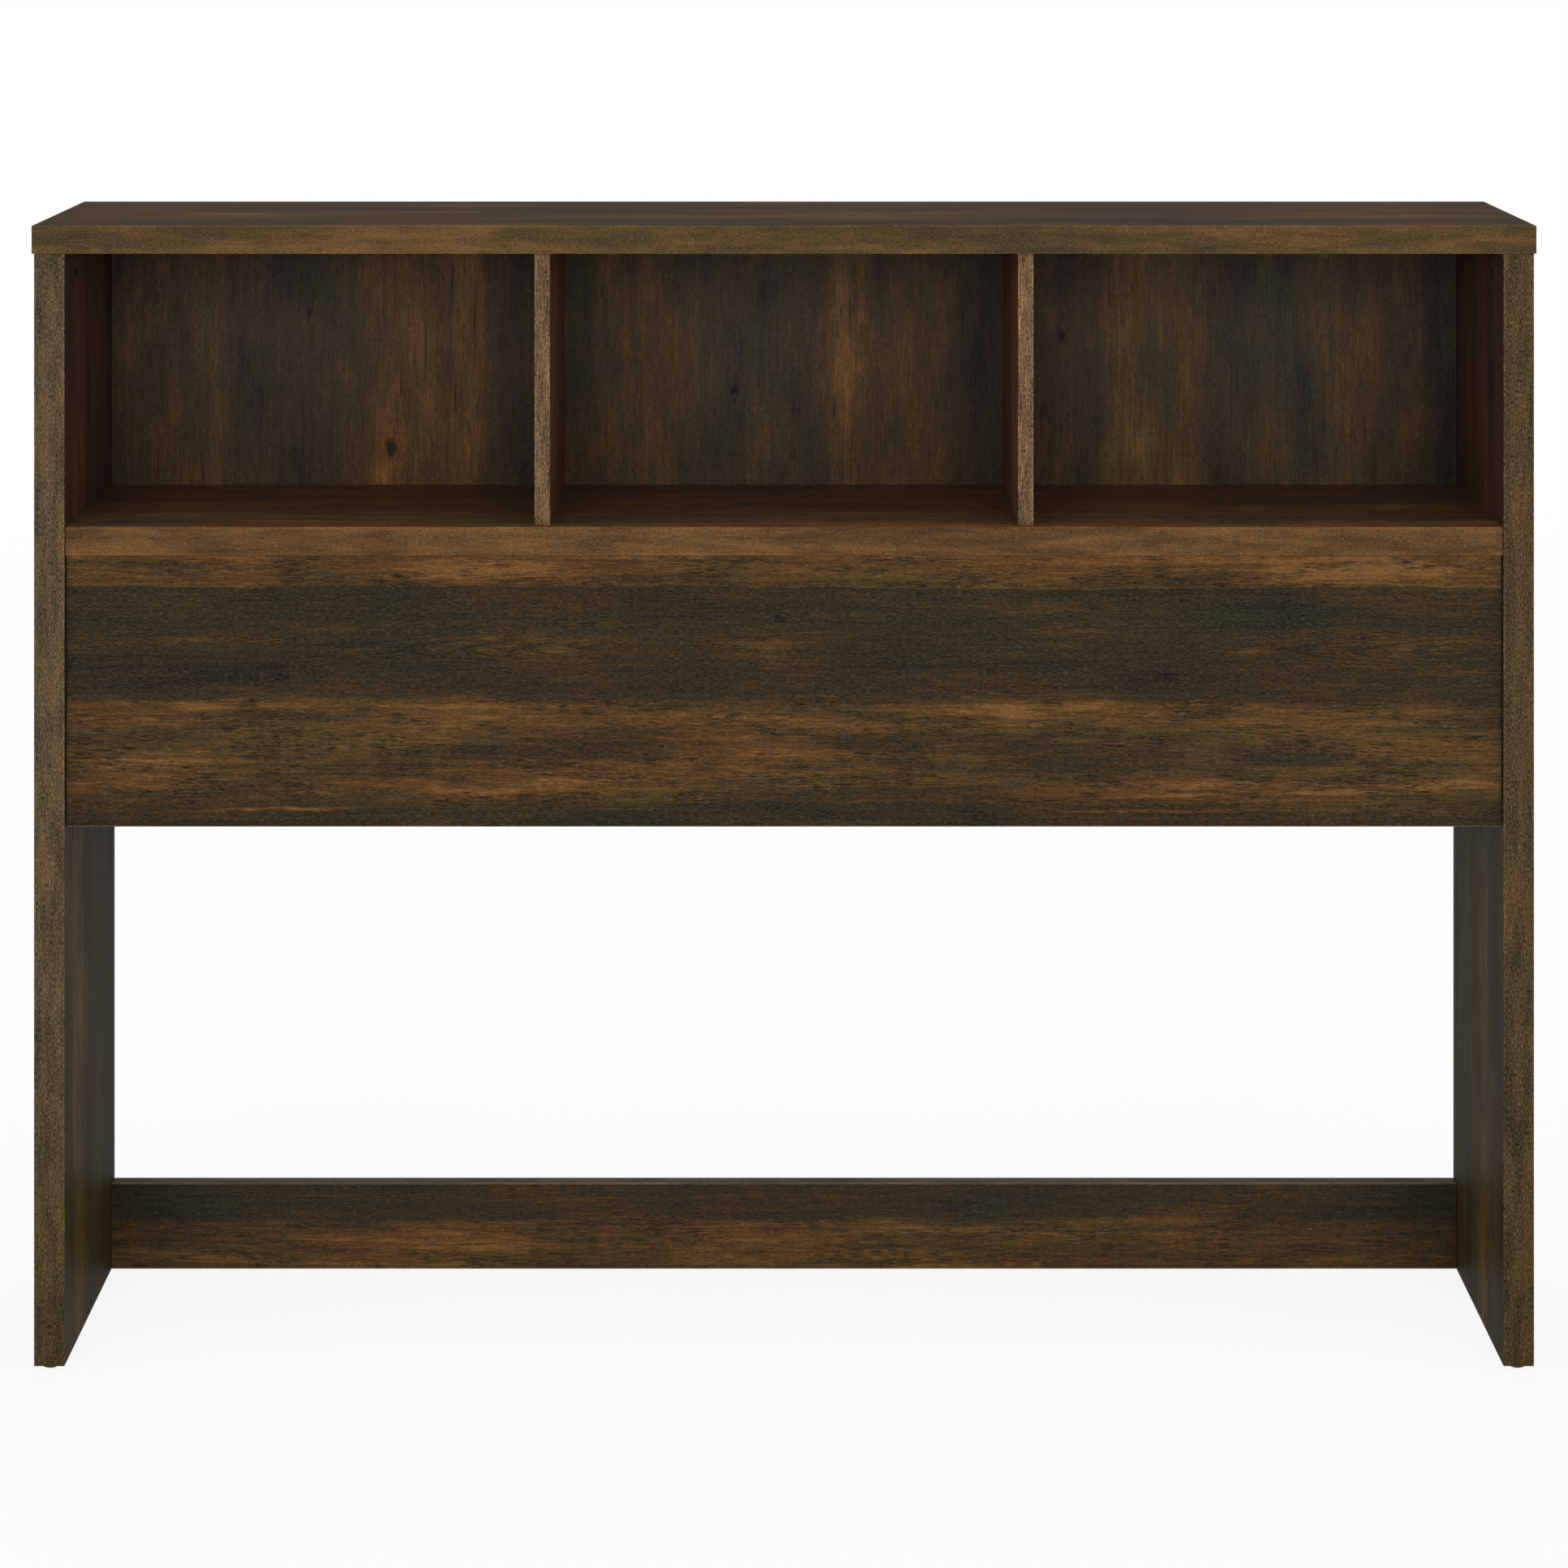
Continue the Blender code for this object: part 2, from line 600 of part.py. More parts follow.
def main():
    clear_scene()
    collection(COLLECTION)
    collection("cutters")
    joints = cam_joints()
    top(joints)
    for side in SIDES:
        side_panel(side, joints)
        divider(side)
    shelf(joints)
    front_panel(joints)
    rear_stretcher(joints)
    back_panel()
    hardware(joints)


main()
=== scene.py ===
"""Looks of the bookcase headboard: printed walnut laminate, embossed edge bands, raw board and hardware.

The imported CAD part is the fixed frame, and every shown piece is one of its nodes. This script gives each node
its own procedural finish, and adds the floor, the lights and the camera. Units are metres in the row frame,
+Z up, front at -Y.
"""

import math
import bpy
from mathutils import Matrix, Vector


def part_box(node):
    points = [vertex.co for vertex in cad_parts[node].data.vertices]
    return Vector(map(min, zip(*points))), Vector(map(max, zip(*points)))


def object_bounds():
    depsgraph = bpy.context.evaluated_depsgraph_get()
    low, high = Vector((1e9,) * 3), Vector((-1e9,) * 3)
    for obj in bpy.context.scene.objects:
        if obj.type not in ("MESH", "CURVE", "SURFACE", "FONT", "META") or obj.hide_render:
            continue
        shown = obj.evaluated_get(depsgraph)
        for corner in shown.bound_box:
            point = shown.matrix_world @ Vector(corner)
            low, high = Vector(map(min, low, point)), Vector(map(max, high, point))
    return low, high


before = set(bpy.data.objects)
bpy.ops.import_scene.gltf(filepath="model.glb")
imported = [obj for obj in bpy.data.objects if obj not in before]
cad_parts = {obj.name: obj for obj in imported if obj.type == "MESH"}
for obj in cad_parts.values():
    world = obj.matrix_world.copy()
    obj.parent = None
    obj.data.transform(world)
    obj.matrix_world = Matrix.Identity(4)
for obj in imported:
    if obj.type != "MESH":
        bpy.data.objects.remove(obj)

from types import SimpleNamespace

import bpy
from mathutils import Vector

CAD_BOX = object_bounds()
SHELF_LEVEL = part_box("shelf_panel")[1].z

# Camera: level, in front of the middle, with a lens shifted down so that upright edges stay parallel
EYE_DISTANCE = 3.058  # from the front face of the object
EYE_HEIGHT = 1.473
LENS, SENSOR = 71.12, 36.0  # mm
LENS_SHIFT = -0.5776
CLIP_NEAR, CLIP_FAR = 0.05, 500.0

# Lights: name, place, size and power in watts. All look at the middle of the object.
SOFTBOXES = (
    ("key", (0.0, -6.0, 2.4), (8.5, 2.8), 274.0),
    ("overhead", (0.0, 0.2, 4.4), (3.5, 3.0), 78.0),
    ("rear", (0.0, 5.0, 2.8), (6.5, 2.6), 140.0),
    ("left", (-5.0, -1.5, 2.2), (2.5, 2.5), 55.0),
    ("right", (5.0, -1.5, 2.2), (2.5, 2.5), 55.0),
)
FILL, MIRRORED_FILL = 0.30, 0.13  # strength of the white world as light, and as seen in reflections

FLOOR_RADIUS = 150.0
FLOOR_CORNERS = 96
FLOOR_GREY = 0.80
FLOOR_GLOW_NEAR, FLOOR_GLOW_FAR = 0.88, 1.0  # share of plain white in what the camera sees
FLOOR_GLOW_FROM, FLOOR_GLOW_TO = 1.5, 5.0  # distances from the object between which it rises
FLOOR_MIRRORED = 0.22  # strength of the floor in reflections

# Directions of faces
UP, DOWN = (0, 0, 1), (0, 0, -1)
REARWARD = (0, 1, 0)

# Colours of the printed walnut from its charcoal to its orange, by tone
WALNUT = (
    (0.00, (0.0180, 0.0155, 0.0095)),
    (0.20, (0.0270, 0.0210, 0.0120)),
    (0.40, (0.0380, 0.0260, 0.0125)),
    (0.55, (0.0550, 0.0315, 0.0118)),
    (0.70, (0.0780, 0.0400, 0.0120)),
    (0.85, (0.1080, 0.0530, 0.0145)),
    (1.00, (0.1650, 0.0790, 0.0220)),
)
INK = (0.0100, 0.0110, 0.0090)
OLIVE_TINT, RUST_TINT = (0.93, 1.03, 1.02), (1.07, 0.97, 0.93)
PRINT_LENGTH = 0.881  # the printed sheet repeats after this length

# Printed features per metre along and across the grain
SWAY = (1.2, 5.0)
RIPPLE = (11.0, 70.0)
STREAKS = (5.0, 190.0)
SHORT_STREAKS = (42.0, 470.0)
CONTOURS = (0.5, 10.0)
CONTOUR_COUNT = 23.0
HUE_DRIFT = (2.3, 16.0)
FIBRES = (190.0, 1250.0)
DASH_CLUSTERS = (10.0, 50.0)
DASHES = (48.0, 1050.0)
PORES = (130.0, 1500.0)
CRACKS = (1.6, 34.0)
CRACK_PLACES = (4.5, 9.0)
EMBOSSING = (200.0, 850.0)
SPLIT_WIDTH = 0.0014

# Edge band colours from the darkest mottle to the lightest
GOLD = ((0.0, (0.040, 0.033, 0.016)), (0.45, (0.085, 0.056, 0.027)), (1.0, (0.138, 0.078, 0.034)))
DULL = ((0.0, (0.033, 0.026, 0.012)), (0.45, (0.065, 0.041, 0.0172)), (1.0, (0.106, 0.058, 0.021)))
PALE = ((0.0, (0.074, 0.049, 0.027)), (0.5, (0.136, 0.085, 0.043)), (1.0, (0.206, 0.126, 0.062)))
AMBER = ((0.0, (0.045, 0.032, 0.0135)), (0.5, (0.086, 0.049, 0.0172)), (1.0, (0.138, 0.072, 0.023)))
BROWN = ((0.0, (0.055, 0.030, 0.0115)), (0.5, (0.108, 0.054, 0.0172)), (1.0, (0.170, 0.077, 0.022)))
OLIVE = ((0.0, (0.040, 0.036, 0.022)), (0.5, (0.070, 0.058, 0.034)), (1.0, (0.110, 0.080, 0.042)))

# Edge band features per metre along and across the grain
BAND_SWAY = (6.0, 20.0)
BAND_MOTTLE = (13.0, 95.0)
BAND_BROAD = (3.0, 22.0)
BAND_STREAKS = (48.0, 1000.0)
BAND_FLECKS = (280.0, 1150.0)
BAND_FINE = (520.0, 2600.0)
BAND_SPECKS = (110.0, 950.0)

# Cores of the boards
CHIP_DARK, CHIP_LIGHT = (0.19, 0.125, 0.07), (0.46, 0.34, 0.21)
FELT_DARK, FELT_LIGHT = (0.110, 0.064, 0.032), (0.185, 0.117, 0.062)
BEECH_DARK, BEECH_LIGHT = (0.40, 0.25, 0.13), (0.66, 0.47, 0.28)
GLIDE_DARK, GLIDE_LIGHT = (0.030, 0.020, 0.014), (0.060, 0.040, 0.027)

# Bands of the print, as (share of the board's width, tone) stops
FRONT_BANDS = (
    (0.00, 0.30), (0.045, 0.35), (0.07, 0.50), (0.11, 0.62), (0.16, 0.72), (0.24, 0.64), (0.30, 0.62),
    (0.37, 0.72), (0.44, 0.68), (0.475, 0.42), (0.55, 0.34), (0.64, 0.32), (0.70, 0.44), (0.76, 0.38),
    (0.84, 0.36), (0.874, 0.33), (0.878, 0.20), (0.884, 0.66), (0.95, 0.72), (1.00, 0.80),
)
TOP_BANDS = ((0.0, 0.60), (0.3, 0.52), (0.5, 0.66), (0.75, 0.54), (1.0, 0.60))
SHELF_BANDS = ((0.0, 0.72), (0.3, 0.54), (0.55, 0.62), (0.8, 0.52), (1.0, 0.52))
STRETCHER_BANDS = ((0.0, 0.70), (0.35, 0.70), (0.56, 0.60), (0.64, 0.38), (1.0, 0.36))
SIDE_BANDS = ((0.0, 0.30), (0.22, 0.34), (0.36, 0.62), (0.46, 0.60), (0.56, 0.34), (0.78, 0.44), (1.0, 0.30))
DIVIDER_BANDS = ((0.0, 0.56), (0.4, 0.66), (1.0, 0.56))
BACK_PLANKS = (
    (0.000, 0.32), (0.017, 0.44), (0.083, 0.46), (0.096, 0.28), (0.160, 0.26), (0.180, 0.46), (0.210, 0.64),
    (0.270, 0.66), (0.285, 0.42), (0.310, 0.30), (0.345, 0.36), (0.370, 0.54), (0.412, 0.54), (0.430, 0.36),
    (0.520, 0.37), (0.542, 0.66), (0.556, 0.60), (0.568, 0.48), (0.606, 0.48), (0.650, 0.24), (0.692, 0.38),
    (0.728, 0.40), (0.740, 0.62), (0.800, 0.56), (0.818, 0.30), (0.860, 0.38), (0.883, 0.30), (0.900, 0.52),
    (0.966, 0.44), (0.980, 0.15),
)

# Light and dark patches: along and across the grain, reach along and across it, change of tone
FRONT_PATCHES = (
    (0.392, 0.250, 0.190, 0.022, 0.28),
    (0.047, 0.205, 0.110, 0.040, -0.08),
    (0.340, 0.213, 0.080, 0.026, -0.18),
    (0.568, 0.223, 0.060, 0.014, -0.22),
    (0.456, 0.181, 0.150, 0.044, 0.24),
    (0.287, 0.171, 0.034, 0.006, 0.40),
    (0.119, 0.148, 0.170, 0.030, -0.12),
    (0.432, 0.137, 0.060, 0.014, -0.20),
    (0.697, 0.173, 0.090, 0.040, 0.16),
    (0.055, 0.109, 0.080, 0.024, 0.12),
    (0.127, 0.117, 0.045, 0.009, 0.25),
    (0.259, 0.112, 0.040, 0.011, -0.28),
    (0.364, 0.069, 0.090, 0.012, -0.34),
    (0.626, 0.058, 0.034, 0.022, -0.28),
    (0.030, 0.012, 0.050, 0.022, -0.25),
    (0.227, 0.0165, 0.130, 0.0035, 0.50),
    (0.250, 0.031, 0.075, 0.0040, 0.38),
    (0.400, 0.034, 0.100, 0.0045, 0.34),
    (0.496, 0.041, 0.090, 0.007, 0.40),
    (0.817, 0.082, 0.090, 0.011, -0.28),
    (0.384, 0.047, 0.080, 0.007, -0.18),
)
STRETCHER_PATCHES = (
    (0.520, 0.045, 0.420, 0.060, 0.16),
    (0.050, 0.045, 0.180, 0.060, -0.12),
    (1.340, 0.045, 0.240, 0.060, -0.12),
    (0.420, 0.022, 0.110, 0.020, 0.14),
)

# Knots: along, across, size. Cathedrals: along, across, length, half width. Splits: along, across, reach.
FRONT_KNOTS = ((0.210, 0.147, 0.011), (0.706, 0.206, 0.009))
FRONT_CATHEDRALS = ((0.275, 0.174, 0.300, 0.027),)
BACK_KNOTS = ((0.045, 0.301, 0.016), (0.190, 0.215, 0.008), (0.105, 0.664, 0.009), (0.165, 1.010, 0.009))
BACK_SPLITS = (
    (0.150, 0.337, 0.045), (0.228, 0.366, 0.034), (0.180, 0.389, 0.034), (0.104, 0.369, 0.024),
    (0.085, 0.392, 0.016), (0.112, 0.311, 0.020), (0.190, 0.786, 0.040), (0.090, 0.770, 0.030),
    (0.175, 0.905, 0.030), (0.120, 1.195, 0.040), (0.210, 1.060, 0.028), (0.060, 1.330, 0.030),
)


class Field:
    """A number or a colour that varies over a surface: an output socket that can be used in sums."""

    def __init__(self, net, socket):
        self.net = net
        self.socket = socket

    def __add__(self, other):
        return self.net.math("ADD", self, other)

    def __sub__(self, other):
        return self.net.math("SUBTRACT", self, other)

    def __rsub__(self, other):
        return self.net.math("SUBTRACT", other, self)

    def __mul__(self, other):
        return self.net.math("MULTIPLY", self, other)

    __radd__ = __add__
    __rmul__ = __mul__


class Net:
    """The node tree of one new material, built from calls that return fields."""

    def __init__(self, name):
        self.material = bpy.data.materials.new(name)
        self.material.use_nodes = True
        self.tree = self.material.node_tree
        self.shader = self.tree.nodes["Principled BSDF"]
        place = self.node("ShaderNodeTexCoord").outputs["Object"]
        split = self.node("ShaderNodeSeparateXYZ")
        self.tree.links.new(place, split.inputs[0])
        self.x, self.y, self.z = (Field(self, socket) for socket in split.outputs)

    def node(self, kind, **settings):
        made = self.tree.nodes.new(kind)
        for key, value in settings.items():
            setattr(made, key, value)
        return made

    def feed(self, socket, value):
        """Puts a field, a number or a colour into an input socket."""
        if isinstance(value, Field):
            self.tree.links.new(value.socket, socket)
        elif isinstance(value, tuple) and len(value) == 3 and socket.type == "RGBA":
            socket.default_value = (*value, 1.0)
        else:
            socket.default_value = value

    def math(self, operation, *values):
        made = self.node("ShaderNodeMath", operation=operation)
        for socket, value in zip(made.inputs, values):
            self.feed(socket, value)
        return Field(self, made.outputs[0])

    def step(self, value, low, high, start=0.0, end=1.0):
        """A smooth step from start at low to end at high."""
        made = self.node("ShaderNodeMapRange", interpolation_type="SMOOTHSTEP")
        ends = {"From Min": low, "From Max": high, "To Min": start, "To Max": end}
        self.feed(made.inputs["Value"], value)
        for key, number in ends.items():
            self.feed(made.inputs[key], number)
        return Field(self, made.outputs["Result"])

    def vector(self, x, y, z=0.0):
        made = self.node("ShaderNodeCombineXYZ")
        for socket, value in zip(made.inputs, (x, y, z)):
            self.feed(socket, value)
        return Field(self, made.outputs[0])

    def noise(self, along, across, seed, detail=2.0, roughness=0.5, distortion=0.0):
        """Noise from 0 to 1 about 0.5 on two scaled coordinates. A seed moves it elsewhere."""
        made = self.node("ShaderNodeTexNoise", noise_dimensions="2D")
        self.feed(made.inputs["Vector"], self.vector(along + 7.31 * seed, across + 3.77 * seed))
        made.inputs["Scale"].default_value = 1.0
        made.inputs["Detail"].default_value = detail
        made.inputs["Roughness"].default_value = roughness
        made.inputs["Distortion"].default_value = distortion
        return Field(self, made.outputs["Fac"])

    def noise_3d(self, scale, detail=2.0, roughness=0.5, stretch=(1, 1, 1)):
        made = self.node("ShaderNodeTexNoise")
        place = self.vector(self.x * stretch[0], self.y * stretch[1], self.z * stretch[2])
        self.feed(made.inputs["Vector"], place)
        made.inputs["Scale"].default_value = scale
        made.inputs["Detail"].default_value = detail
        made.inputs["Roughness"].default_value = roughness
        return Field(self, made.outputs["Fac"])

    def ramp(self, factor, stops, interpolation="LINEAR"):
        """A colour ramp. Stops are (position, colour), or (position, number) for a grey one."""
        made = self.node("ShaderNodeValToRGB")
        made.color_ramp.interpolation = interpolation
        points = made.color_ramp.elements
        while len(points) < len(stops):
            points.new(1.0)
        for point, (position, colour) in zip(points, stops):
            point.position = position
            point.color = (*(colour if isinstance(colour, tuple) else (colour,) * 3), 1.0)
        self.feed(made.inputs["Fac"], factor)
        return Field(self, made.outputs["Color"])

    def mix(self, factor, first, second, blend="MIX"):
        made = self.node("ShaderNodeMix", data_type="RGBA", blend_type=blend)
        self.feed(made.inputs["Factor"], factor)
        self.feed(made.inputs[6], first)
        self.feed(made.inputs[7], second)
        return Field(self, made.outputs[2])

    def tint(self, colour, strength):
        """A colour multiplied by a fixed one, or made brighter or darker by a field of numbers."""
        if isinstance(strength, Field):
            strength = self.vector(strength, strength, strength)
        return self.mix(1.0, colour, strength, "MULTIPLY")

    def glint(self, colour, noise, strength):
        """Painted sheen: adds grey where noise about 0 is high and takes a little where it is low, with the
        mean kept.
        """
        grey = (self.math("MAXIMUM", noise, -0.06) - 0.018) * strength
        return self.mix(1.0, colour, self.vector(grey, grey, grey), "ADD")

    def facing(self, direction):
        """1 where the flat face looks along a direction, else 0."""
        made = self.node("ShaderNodeVectorMath", operation="DOT_PRODUCT")
        self.tree.links.new(self.node("ShaderNodeNewGeometry").outputs["True Normal"], made.inputs[0])
        made.inputs[1].default_value = direction
        return self.math("GREATER_THAN", Field(self, made.outputs["Value"]), 0.9)

    def highest(self, *fields):
        """The highest of several fields or numbers at each point."""
        found = fields[0]
        for field in fields[1:]:
            found = self.math("MAXIMUM", found, field)
        return found

    def finish(self, colour, roughness, height, bump, depth=0.0004, specular=0.2, metallic=0.0):
        """Feeds the surface. Height bumps it by up to depth metres, at a strength from 0 to 1."""
        self.feed(self.shader.inputs["Base Color"], colour)
        self.feed(self.shader.inputs["Roughness"], roughness)
        self.feed(self.shader.inputs["Specular IOR Level"], specular)
        self.feed(self.shader.inputs["Metallic"], metallic)
        made = self.node("ShaderNodeBump")
        made.inputs["Strength"].default_value = bump
        made.inputs["Distance"].default_value = depth
        self.feed(made.inputs["Height"], height)
        self.tree.links.new(made.outputs["Normal"], self.shader.inputs["Normal"])
        return self.material


def inside(net, box):
    """How far below the outside of a box a point lies, so that bores and grooves can be told from faces."""
    depth = None
    for field, low, high in zip((net.x, net.y, net.z), *box):
        nearest = net.math("MINIMUM", field - low, high - field)
        depth = nearest if depth is None else net.math("MINIMUM", depth, nearest)
    return depth


def chipboard(net):
    """Colour of sawn particle board: pale and dark chips pressed together."""
    chips = net.node("ShaderNodeTexVoronoi", distance="MANHATTAN")
    wobble = net.noise_3d(500.0, 2.0)
    place = net.vector(net.x + wobble * 0.004, net.y + wobble * 0.004, net.z + wobble * 0.004)
    net.feed(chips.inputs["Vector"], place)
    chips.inputs["Scale"].default_value = 420.0
    mottle = net.noise_3d(650.0, 4.0, 0.65)
    tone = Field(net, chips.outputs["Color"]) * 0.40 + mottle * 0.75
    return net.ramp(net.step(tone, 0.30, 0.85), ((0.0, CHIP_DARK), (1.0, CHIP_LIGHT)))


def fibreboard(net):
    """Colour of bare hardboard: even brown felt of wood fibre."""
    felt = net.noise_3d(900.0, 4.0, 0.75)
    cloud = net.noise_3d(22.0, 4.0, 0.6)
    return net.ramp(net.step(felt * 0.75 + cloud * 0.25, 0.30, 0.70), ((0.0, FELT_DARK), (1.0, FELT_LIGHT)))


def blot(net, place, centre, reach):
    """1 at a centre, falling to 0 at an ellipse of the given reach along and across the grain."""
    made = net.node("ShaderNodeVectorMath", operation="MULTIPLY_ADD")
    net.feed(made.inputs[0], place)
    made.inputs[1].default_value = (1 / reach[0], 1 / reach[1], 0.0)
    made.inputs[2].default_value = (-centre[0] / reach[0], -centre[1] / reach[1], 0.0)
    length = net.node("ShaderNodeVectorMath", operation="LENGTH")
    net.tree.links.new(made.outputs[0], length.inputs[0])
    return net.step(Field(net, length.outputs["Value"]), 0.0, 1.0, 1.0, 0.0)


def grain_axes(net, node, along, across):
    """Distance along and across the grain from a node's low corner, its length along and its width across."""
    low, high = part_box(node)
    fields = dict(x=net.x, y=net.y, z=net.z)
    length, width = (getattr(high, axis) - getattr(low, axis) for axis in (along, across))
    g, a = (fields[axis] - getattr(low, axis) for axis in (along, across))
    return g, a, length, width


def walnut(name, node, along, across, bands, **options):
    """Printed walnut laminate on a board, with its grain along one axis.

    bands are (share of the board's width, tone) stops across the grain. Patches, knots, cathedrals and splits
    are placed in metres along and across the grain, from the board's low corner.
    """
    look = SimpleNamespace(
        seed=1.0, patches=(), knots=(), cathedrals=(), splits=(),
        blotch=1.0, spread=(3.2, 24.0),  # blotches of tone, and how many per metre
        streak=0.85, grain=0.50, rings=0.05,  # strength of long streaks, short streaks and contour lines
        worn=0.6, cracks=0.5, emboss=0.022,
        recess=None,  # direction of the faces in the cubbies or under the shelf, and the tints below and above it that paint on them how light falls there
        raw=(REARWARD,), core=chipboard,  # directions of the sawn edges, and what they show
        roughness=0.47, gain=(0.93, 0.93, 0.93),
    )
    look.__dict__.update(options)
    net = Net(name)
    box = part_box(node)
    g, a, _, width = grain_axes(net, node, along, across)
    thin = "xyz".replace(along, "").replace(across, "")
    a = a + (getattr(net, thin) - getattr(box[0], thin))  # so that the print goes on round the edges

    def print_noise(density, seed, *shape):
        return net.noise(g * density[0], line * density[1], look.seed + seed, *shape)

    # The grain sways, and it bulges round each knot
    sway = net.noise(g * SWAY[0], a * SWAY[1], look.seed, 2.0) - 0.5
    ripple = net.noise(g * RIPPLE[0], a * RIPPLE[1], look.seed + 1, 3.0, 0.6) - 0.5
    line = a + sway * 0.014 + ripple * 0.005
    sheet = net.vector(g + ripple * 0.02, a + ripple * 0.004)
    knot_ink = 0.0
    for knot_g, knot_a, size in look.knots:
        near = blot(net, sheet, (knot_g, knot_a), (size * 5.0, size * 2.2))
        line = line - (a - knot_a) * near * 0.55
        knot_ink = blot(net, sheet, (knot_g, knot_a), (size, size * 0.7)) * 1.4 + knot_ink

    # Tone: the sheet's broad bands, blotches and streaks drawn out along the grain, and placed patches
    tone = net.ramp(line * (1 / width), bands, "EASE")
    tone = tone + (print_noise(look.spread, 2, 5.0, 0.62) - 0.5) * look.blotch
    tone = tone + (print_noise(STREAKS, 3, 5.0, 0.68) - 0.5) * look.streak
    short = print_noise(SHORT_STREAKS, 7, 3.0, 0.65) - 0.5
    wander = net.vector(g + sway * 0.12 + ripple * 0.10, line + ripple * 0.008)
    for patch_g, patch_a, reach_g, reach_a, change in look.patches:
        tone = tone + blot(net, wander, (patch_g, patch_a), (reach_g, reach_a)) * change
    for tip_g, tip_a, length, half in look.cathedrals:
        arch = (line - tip_a) * (1 / half)
        arcs = net.math("PINGPONG", (g - tip_g) * (5.0 / length) - arch * arch * 7.5, 0.5)
        within = blot(net, sheet, (tip_g + length * 0.45, tip_a), (length * 0.62, half * 1.6))
        shade = (net.step(arcs, 0.02, 0.20) - 0.80) * net.step(within, 0.0, 0.8)
        tone = tone + shade * (short * 1.6 + 0.34)
    contour = print_noise(CONTOURS, 4, 1.0) * CONTOUR_COUNT
    tone = tone - net.step(net.math("PINGPONG", contour, 0.5), 0.30, 0.50) * look.rings
    tone = tone + short * look.grain
    tone = net.math("MINIMUM", net.highest(tone, 0.0), 1.0)
    colour = net.ramp(tone, WALNUT)

    # Hue drifts between olive and rust, and fine fibres run through everything
    hue = print_noise(HUE_DRIFT, 5, 3.0)
    colour = net.mix(1.0, colour, net.ramp(hue, ((0.30, OLIVE_TINT), (0.70, RUST_TINT))), "MULTIPLY")
    # Painted light: faces that look one way are tinted, below and above the shelf, for the light in the cubbies
    # and under the shelf
    if look.recess:
        direction, below, above = look.recess
        shade = net.ramp(net.step(net.z, SHELF_LEVEL - 0.02, SHELF_LEVEL), ((0.0, below), (1.0, above)))
        colour = net.mix(net.facing(direction), colour, net.mix(1.0, colour, shade, "MULTIPLY"))
    fibre = print_noise(FIBRES, 6, 2.0, 0.6)
    colour = net.tint(colour, fibre * 1.3 + short * 0.6 + 0.35)
    colour = net.tint(colour, look.gain)

    # Wear: clusters of short dark dashes on the brown wood, pores, thin cracks and placed splits
    clusters = net.step(print_noise(DASH_CLUSTERS, 8, 3.0, 0.6), 0.46, 0.56)
    brown = net.step(tone, 0.30, 0.55)
    dashes = net.step(print_noise(DASHES, 9, 3.0, 0.7), 0.53, 0.565) * clusters * brown * look.worn
    pores = net.step(print_noise(PORES, 10, 1.0), 0.64, 0.74) * 0.5
    crack_line = net.math("ABSOLUTE", print_noise(CRACKS, 11, 2.0) - 0.5)
    crack_place = net.step(print_noise(CRACK_PLACES, 12, 1.0), 0.58, 0.70)
    cracks = net.step(crack_line, 0.0, 0.010, 1.0, 0.0) * crack_place * look.cracks
    ink = net.highest(dashes, cracks, pores)
    for split_g, split_a, reach in look.splits:
        ink = ink + blot(net, sheet, (split_g, split_a), (reach, SPLIT_WIDTH)) * 0.9
    ink = net.math("MINIMUM", net.highest(ink, knot_ink), 1.0)
    colour = net.mix(ink * 0.90, colour, INK)
    # Painted sheen: fine grey glints on the embossing
    colour = net.glint(colour, print_noise(EMBOSSING, 13, 2.0) - 0.5, look.emboss)

    # Sawn edges and everything drilled or grooved into the board shows its core
    raw = net.highest(net.step(inside(net, box), 0.0001, 0.0003), *(net.facing(way) for way in look.raw))
    colour = net.mix(raw, colour, look.core(net))
    roughness = fibre * 0.14 + (look.roughness - 0.07) + ink * 0.12 + raw * 0.30
    return net.finish(colour, roughness, fibre * 0.5 - ink * 0.7, 0.35, 0.00035)


